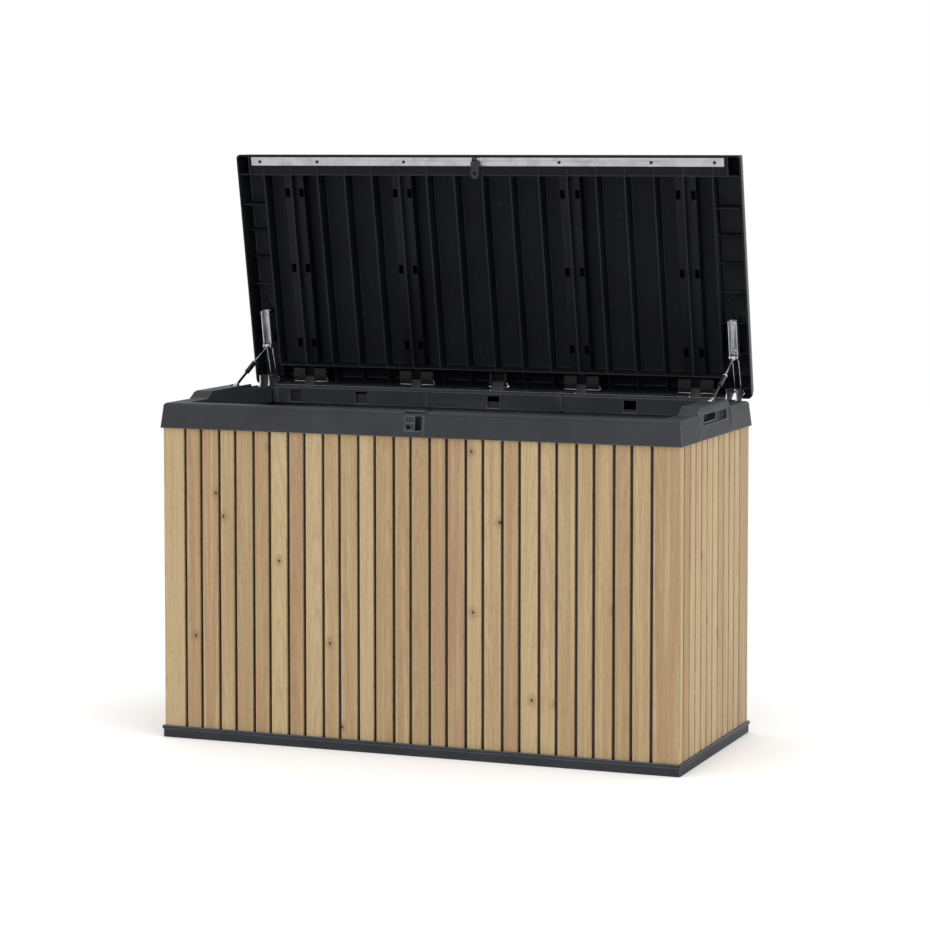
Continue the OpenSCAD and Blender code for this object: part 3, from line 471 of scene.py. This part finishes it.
softened("latch_bar", 0.0006, ALUMINIUM, "satin_aluminium", "lid")
softened("hasp_bracket", 0.0005, ZINC, "zinc_steel", "lid")
softened("hasp_pin", 0.0004, NICKEL, "bright_steel", "lid")
softened("hasp", 0.0008, ENAMEL, "black_paint", "hasp", 3)
softened("tower_pins", 0.0006, NICKEL, "bright_steel")
softened("strut_post_pins", 0.0006, NICKEL, "bright_steel")
softened("center_hinge_pin", 0.0012, NICKEL, "bright_steel", "lid", 3)
for k in range(1, 5):
    softened(f"hinge_pin_{k}", 0.0008, ZINC, "zinc_steel", "lid")
for side in ("left", "right"):
    softened(f"stay_plate_{side}", 0.0005, ZINC, "zinc_steel", "lid")
    softened(f"tower_strap_{side}", 0.0004, NICKEL, "bright_steel")

# ------------------------------------------------------------------ screws
# Domed screws with a cross recess: black ones hold the latch bar and the
# rim's fittings, bright ones the stay plates.
joints = {j["name"]: j for j in frame["joints"]}
lid_angle = math.radians(joints["lid_hinge"]["range_deg"][1])
LID_OUT = np.array([0, -math.sin(lid_angle), -math.cos(lid_angle)])  # out of the lid's underside


def islands(node):
    """The vertices of each separate solid in a CAD node."""
    shape = bmesh.new()
    shape.from_mesh(frame["nodes"][node].data)
    bmesh.ops.remove_doubles(shape, verts=shape.verts, dist=1e-5)
    left, found = set(shape.verts), []
    while left:
        stack, group = [left.pop()], []
        while stack:
            v = stack.pop()
            group.append(tuple(v.co))
            near = {e.other_vert(v) for e in v.link_edges} & left
            left -= near
            stack.extend(near)
        found.append(np.array(group))
    shape.free()
    return found


def screw_heads(node, out, radius, height, material, slot, body):
    """Heads on every screw of a node. A head is a grid of rings: its height falls with the square
    of the radius, and it drops by the recess depth inside a cross of two crossed slots."""
    out = np.array(out, float)
    side = np.array([1.0, 0, 0])
    up = np.cross(out, side)
    r = np.concatenate([np.linspace(0.04, 0.62, 9), np.linspace(0.68, 1.0, 6)]) * radius
    angle = np.linspace(0, 2 * math.pi, 32, endpoint=False) + math.pi / 32
    x = r[:, None] * np.cos(angle)
    y = r[:, None] * np.sin(angle)
    dome = height * (1 - 0.6 * (r[:, None] / radius) ** 2) * np.ones_like(x)
    cross = (np.minimum(abs(x), abs(y)) < 0.13 * radius) & (r[:, None] < 0.6 * radius)
    z = dome - cross * height * 0.55
    rim = np.stack([x[-1], y[-1], np.zeros_like(x[-1])], -1)[None]
    head = np.concatenate([np.stack([x, y, z], -1), rim])
    rings = []
    for solid in islands(node):
        top = (solid @ out).max()
        middle = (solid.min(0) + solid.max(0)) / 2
        seat = middle + out * (top - height - middle @ out)
        rings.append(seat + head[..., :1] * side + head[..., 1:2] * up + head[..., 2:] * out)
    return place_piece(grid_mesh(node, np.array(rings), 40), node + "_heads", body, slot, material, node)


HEAD_R = 0.004        # radius of a screw's head
HEAD_H = 0.0018       # height of its dome
screw_heads("latch_bar_screws", LID_OUT, HEAD_R, HEAD_H, ENAMEL, "black_screws", "lid")
screw_heads("stay_plate_screws", LID_OUT, HEAD_R, HEAD_H, NICKEL, "bright_steel", "lid")
screw_heads("rim_screws", (0, 0, 1), HEAD_R, HEAD_H, ENAMEL, "black_screws", "box")

# ------------------------------------------------------------------- stays
# A telescopic stay: a steel end fitting on the rim's post, a thin guide
# tube, a fat damper with rolled grooves, a bright cap and a polished rod.


def joined_ends(mesh):
    """Takes away the two flat end faces and welds the first and last rings, which lie on each other."""
    shape = bmesh.new()
    shape.from_mesh(mesh)
    bmesh.ops.delete(shape, geom=[f for f in shape.faces if len(f.verts) > 4], context="FACES_ONLY")
    bmesh.ops.remove_doubles(shape, verts=shape.verts, dist=1e-6)
    bmesh.ops.recalc_face_normals(shape, faces=shape.faces)
    shape.to_mesh(mesh)
    shape.free()
    return mesh


def turned(name, start, along, profile, material, slot, body, *nodes, bore=None):
    """A turned piece: `profile` gives (distance, radius) points along the axis, and each becomes a
    circle, so the surface is the profile's line spun about the axis. With a bore, the line goes on
    back along the inside at that radius."""
    along = np.array(along, float)
    side = np.array([1.0, 0, 0])
    if abs(along[0]) > 0.5:
        side = np.array([0, 1.0, 0])
    up = np.cross(along, side)
    line = np.array(profile, float)
    if bore:
        inside = np.array([(d, bore) for d in (line[0, 0], line[-1, 0])])
        line = np.concatenate([inside[:1], line, inside[::-1]])
    d, r = line.T
    angle = np.linspace(0, 2 * math.pi, 40, endpoint=False)[None, :, None]
    circle = np.cos(angle) * side + np.sin(angle) * up
    rings = np.array(start) + d[:, None, None] * along + r[:, None, None] * circle
    mesh = grid_mesh(name, rings[None], 35)
    return place_piece(joined_ends(mesh) if bore else mesh, name, body, slot, material, *nodes)


def rolled(d0, d1, r, grooves, depth, width, lip):
    """Profile of a tube from d0 to d1 with rolled grooves, each a half wave `depth` deep, and ends
    rounded off by a quarter circle of radius `lip`."""
    d = np.linspace(d0, d1, int((d1 - d0) / 0.0006))
    dip = sum(np.cos(np.clip((d - g) / width, -0.5, 0.5) * math.pi) for g in grooves)
    end = np.minimum(np.minimum(d - d0, d1 - d) / lip, 1)
    return np.stack([d, r - depth * dip - lip * (1 - np.sqrt(np.clip(1 - (1 - end) ** 2, 0, 1)))], -1)


EYE_BORE = 0.00305
TUBE_BORE = 0.0027    # of the guide, damper and cap, around the 5 mm rod
ROD_EYE_R = 0.005     # outer radius of the eye at the rod's upper end


def eye_ring(name, centre, half, outer, material, slot, body, *nodes):
    """A rounded ring about an axis along X: its section is an oval between the bore and `outer`."""
    angle = np.linspace(0, 2 * math.pi, 24, endpoint=False)
    mid, deep = (outer + EYE_BORE) / 2, (outer - EYE_BORE) / 2
    x = half * np.sign(np.cos(angle)) * np.abs(np.cos(angle)) ** 0.5
    r = mid + deep * np.sign(np.sin(angle)) * np.abs(np.sin(angle)) ** 0.5
    spin = np.linspace(0, 2 * math.pi, 41)[:, None]
    rings = np.stack([x + 0 * spin, r * np.cos(spin), r * np.sin(spin)], -1) + np.array(centre)
    return place_piece(joined_ends(grid_mesh(name, rings[None], 35)), name, body, slot, material, *nodes)


for side in ("left", "right"):
    foot = np.array(joints[f"strut_{side}_swing"]["pos_m"])
    along = np.array(joints[f"strut_{side}_slide"]["axis"])
    tube, rod = f"strut_tube_{side}", f"strut_rod_{side}"
    corners = np.array([v.co for v in frame["nodes"][rod].data.vertices])
    rod_end = ((corners - foot) @ along).max() - ROD_EYE_R
    eye_ring(f"stay_fitting_{side}", foot, 0.0053, 0.006, ZINC, "zinc_steel", tube)
    turned(f"stay_neck_{side}", foot, along,
           [(0.0045, 0.0022), (0.0052, 0.0036), (0.0085, 0.0038), (0.0105, 0.0046), (0.0148, 0.0046), (0.0155, 0.0038)],
           ZINC, "zinc_steel", tube)
    turned(f"stay_guide_{side}", foot, along, rolled(0.0152, 0.0785, 0.0034, (0.020, 0.073), 0.0003, 0.003, 0.0004),
           ENAMEL, "black_paint", tube, bore=TUBE_BORE)
    turned(f"stay_damper_{side}", foot, along, rolled(0.077, 0.1235, 0.0063, (0.082, 0.118), 0.0007, 0.0032, 0.0012),
           ENAMEL, "black_paint", tube, tube, bore=TUBE_BORE)
    turned(f"stay_cap_{side}", foot, along,
           [(0.1225, 0.0040), (0.1225, 0.0064), (0.1232, 0.0067), (0.1294, 0.0067), (0.1301, 0.0063), (0.1304, 0.0052),
            (0.1326, 0.0050), (0.1330, 0.0046)],
           NICKEL, "bright_steel", tube, f"strut_cap_{side}", bore=TUBE_BORE)
    turned(f"stay_rod_{side}", foot, along,
           [(rod_end - 0.12, 0.0020), (rod_end - 0.1195, 0.0025), (rod_end - 0.008, 0.0025), (rod_end - 0.0075, 0.0032),
            (rod_end - 0.0045, 0.0032)], NICKEL, "zinc_steel", rod, rod)
    eye_ring(f"stay_eye_{side}", foot + along * rod_end, 0.0038, ROD_EYE_R, ZINC, "zinc_steel", rod)

# -------------------------------------------------------------- hinge arms
# Each pair of nickel-plated wires is bent to a long shallow curve and welded
# into the stay plate; flat eyes at its lower end turn on the tower's pin.
axis = np.array(joints["lid_hinge"]["pos_m"])
AXIS_IN = 0.013       # the hinge axis is this far ahead of the lid's rear edge
AXIS_UP = 0.0214      # and this far above its lower edge, with the lid closed
WIRE_R = 0.0015
WIRE_X = 0.0075       # distance of a wire from the middle of its pair
WIRE_REACH = 0.127    # from the hinge axis to the weld on the stay plate
WIRE_DROP = 0.0104    # how far a wire comes down towards the lid's edge
BEND_END = 0.83       # share of the reach at which the bend is complete


def on_lid(x, from_edge, height):
    """A point of the open lid: `from_edge` ahead of its rear edge, `height` above its lower edge."""
    y, z = AXIS_IN - np.asarray(from_edge), np.asarray(height) - AXIS_UP
    c, s = math.cos(lid_angle), math.sin(lid_angle)
    return np.stack([x + 0 * y, axis[1] + y * c + z * s, axis[2] - y * s + z * c], -1)


for side, sign in (("left", -1), ("right", 1)):
    stay_x = joints[f"strut_{side}_swing"]["pos_m"][0]
    t = np.linspace(0, 1, 60)
    from_edge = AXIS_IN + WIRE_REACH * t
    ease = np.clip(t / BEND_END, 0, 1)
    height = AXIS_UP - WIRE_DROP * ease * ease * (3 - 2 * ease)
    wires = []
    for s in (-1, 1):
        line = on_lid(stay_x + s * WIRE_X, from_edge, height)
        ahead = np.gradient(line, axis=0)
        ahead /= np.linalg.norm(ahead, axis=1)[:, None]
        beside = np.array([1.0, 0, 0])
        above = np.cross(ahead, beside)
        angle = np.linspace(0, 2 * math.pi, 14, endpoint=False)[None, :, None]
        wires.append(line[:, None] + WIRE_R * (np.cos(angle) * beside + np.sin(angle) * above[:, None]))
    place_piece(grid_mesh(f"hinge_wires_{side}", np.array(wires), 40), f"hinge_wires_{side}", "lid",
                "bright_steel", NICKEL, f"hinge_arm_{side}")
    for s, name in ((-1, "a"), (1, "b")):
        centre = (stay_x + s * WIRE_X, axis[1], axis[2])
        eye_ring(f"wire_eye_{side}_{name}", centre, 0.0018, 0.0055, NICKEL, "bright_steel", "lid")

# --------------------------------------------------------- hidden CAD nodes
# Every CAD node also carries its own finish, the lid's braces among them.
by_slot = {"slate_resin": SLATE, "black_resin": BLACK, "oak_slats": OAK, "satin_aluminium": ALUMINIUM,
           "zinc_steel": ZINC, "bright_steel": NICKEL, "black_paint": ENAMEL, "black_screws": ENAMEL}
for part in frame["record"]["subparts"]:
    node = frame["nodes"][part["node"]]
    node.data.materials.clear()
    of_lid = part["node"].startswith("lid_")
    node.data.materials.append(SOOT if of_lid else by_slot[part["material_slot"]])
